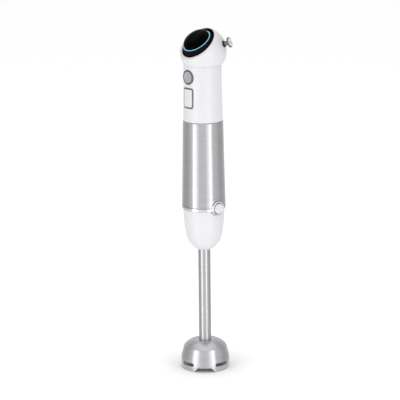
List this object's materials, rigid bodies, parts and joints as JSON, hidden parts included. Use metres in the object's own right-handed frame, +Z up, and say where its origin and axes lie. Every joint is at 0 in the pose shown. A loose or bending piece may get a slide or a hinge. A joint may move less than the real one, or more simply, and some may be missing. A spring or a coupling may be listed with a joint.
{
  "type": "immersion blender",
  "caption": "Tall immersion blender standing on its slotted steel bell: white grip with a tilted black speed dial, two buttons, a brushed steel motor sleeve and a detachable shaft.",
  "frame": {"origin": "centre of the bell's rim, on the surface that the blender stands on", "axes": "+Z up along the shaft; the front, with the dial and the two grip buttons, faces -Y; the release buttons are at +X and -X"},
  "size_m": [0.0631, 0.0592, 0.4199],
  "materials": {
    "white_plastic": "satin moulded",
    "brushed_steel": "brushed",
    "chrome": "polished",
    "dark_chrome": "dark polished",
    "silver_button": "satin silver",
    "gloss_black": "high gloss",
    "black_plastic": "fine matt",
    "grey_plastic": "fine matt",
    "light_ring": "lit translucent",
    "rubber": "matt",
    "bronze": "sintered",
    "copper": "enamelled winding",
    "steel": "ground",
    "laminations": "stacked sheet",
    "carbon": "pressed carbon",
    "circuit_board": "coated board"
  },
  "bodies": {
    "blending_shaft": {"bell_guard": "brushed_steel", "shaft_tube": "brushed_steel", "bell_bush": "bronze", "lip_seal": "rubber", "upper_bush": "grey_plastic", "lower_housing": "white_plastic"},
    "blade_assembly": {"drive_shaft": "steel", "blade_hub": "steel", "blade": "steel", "blade_nut": "steel", "driven_coupling": "grey_plastic"},
    "motor_unit": {"coupling_socket": "grey_plastic", "trim_ring_front": "chrome", "trim_ring_rear": "chrome", "steel_sleeve": "brushed_steel", "motor_chassis": "grey_plastic", "stator_core": "laminations", "field_coil_right": "copper", "field_coil_left": "copper", "lower_bridge": "black_plastic", "lower_bearing": "steel", "upper_bridge": "black_plastic", "upper_bearing": "steel", "carbon_brush_front": "carbon", "brush_holder_front": "bronze", "carbon_brush_rear": "carbon", "brush_holder_rear": "bronze", "grip_shell": "white_plastic", "power_bezel": "dark_chrome", "turbo_bezel": "dark_chrome", "control_board": "circuit_board", "power_switch": "black_plastic", "turbo_switch": "black_plastic", "head_shell": "white_plastic", "dial_base": "gloss_black", "light_board": "circuit_board", "speed_potentiometer": "black_plastic", "cord_gasket": "rubber", "cord_gland": "dark_chrome", "gland_bush": "white_plastic", "release_bezel_right": "chrome", "release_bezel_left": "chrome", "release_spring_right": "steel", "release_spring_left": "steel"},
    "rotor": {"motor_shaft": "steel", "armature_core": "laminations", "armature_winding_lower": "copper", "armature_winding_upper": "copper", "commutator": "copper", "cooling_fan": "grey_plastic", "drive_coupling": "black_plastic"},
    "speed_dial": {"dial_skirt": "black_plastic", "dial_light_ring": "light_ring", "dial_cap": "gloss_black", "dial_spindle": "steel"},
    "power": {"power_button": "white_plastic"},
    "turbo": {"turbo_button": "silver_button"},
    "release_right": {"release_button_right": "white_plastic"},
    "release_left": {"release_button_left": "white_plastic"}
  },
  "joints": [
    {"name": "shaft_release", "type": "slide", "parent": "blending_shaft", "child": "motor_unit", "axis": [0, 0, 1], "range_m": [0, 0.04]},
    {"name": "motor_spin", "type": "hinge", "parent": "motor_unit", "child": "rotor", "pos_m": [0, 0, 0.25], "axis": [0, 0, 1], "continuous": true},
    {"name": "blade_spin", "type": "hinge", "parent": "blending_shaft", "child": "blade_assembly", "pos_m": [0, 0, 0.1], "axis": [0, 0, 1], "continuous": true},
    {"name": "dial_turn", "type": "hinge", "parent": "motor_unit", "child": "speed_dial", "pos_m": [0, 0.0014, 0.3933], "axis": [0, -0.6018, 0.7986], "range_deg": [0, 270]},
    {"name": "power_press", "type": "slide", "parent": "motor_unit", "child": "power", "axis": [0, 1, 0], "range_m": [0, 0.0012], "stiffness_N_per_m": 1200, "springref_m": -0.001},
    {"name": "turbo_press", "type": "slide", "parent": "motor_unit", "child": "turbo", "axis": [0, 1, 0], "range_m": [0, 0.0012], "stiffness_N_per_m": 1200, "springref_m": -0.001},
    {"name": "release_right_press", "type": "slide", "parent": "motor_unit", "child": "release_right", "axis": [-1, 0, 0], "range_m": [0, 0.0018], "stiffness_N_per_m": 900, "springref_m": -0.002, "deforming": ["release_spring_right"]},
    {"name": "release_left_press", "type": "slide", "parent": "motor_unit", "child": "release_left", "axis": [1, 0, 0], "range_m": [0, 0.0018], "stiffness_N_per_m": 900, "springref_m": -0.002, "deforming": ["release_spring_left"]}
  ],
  "couplings": [
    {"joint": "blade_spin", "follows": "motor_spin", "ratio": 1}
  ]
}
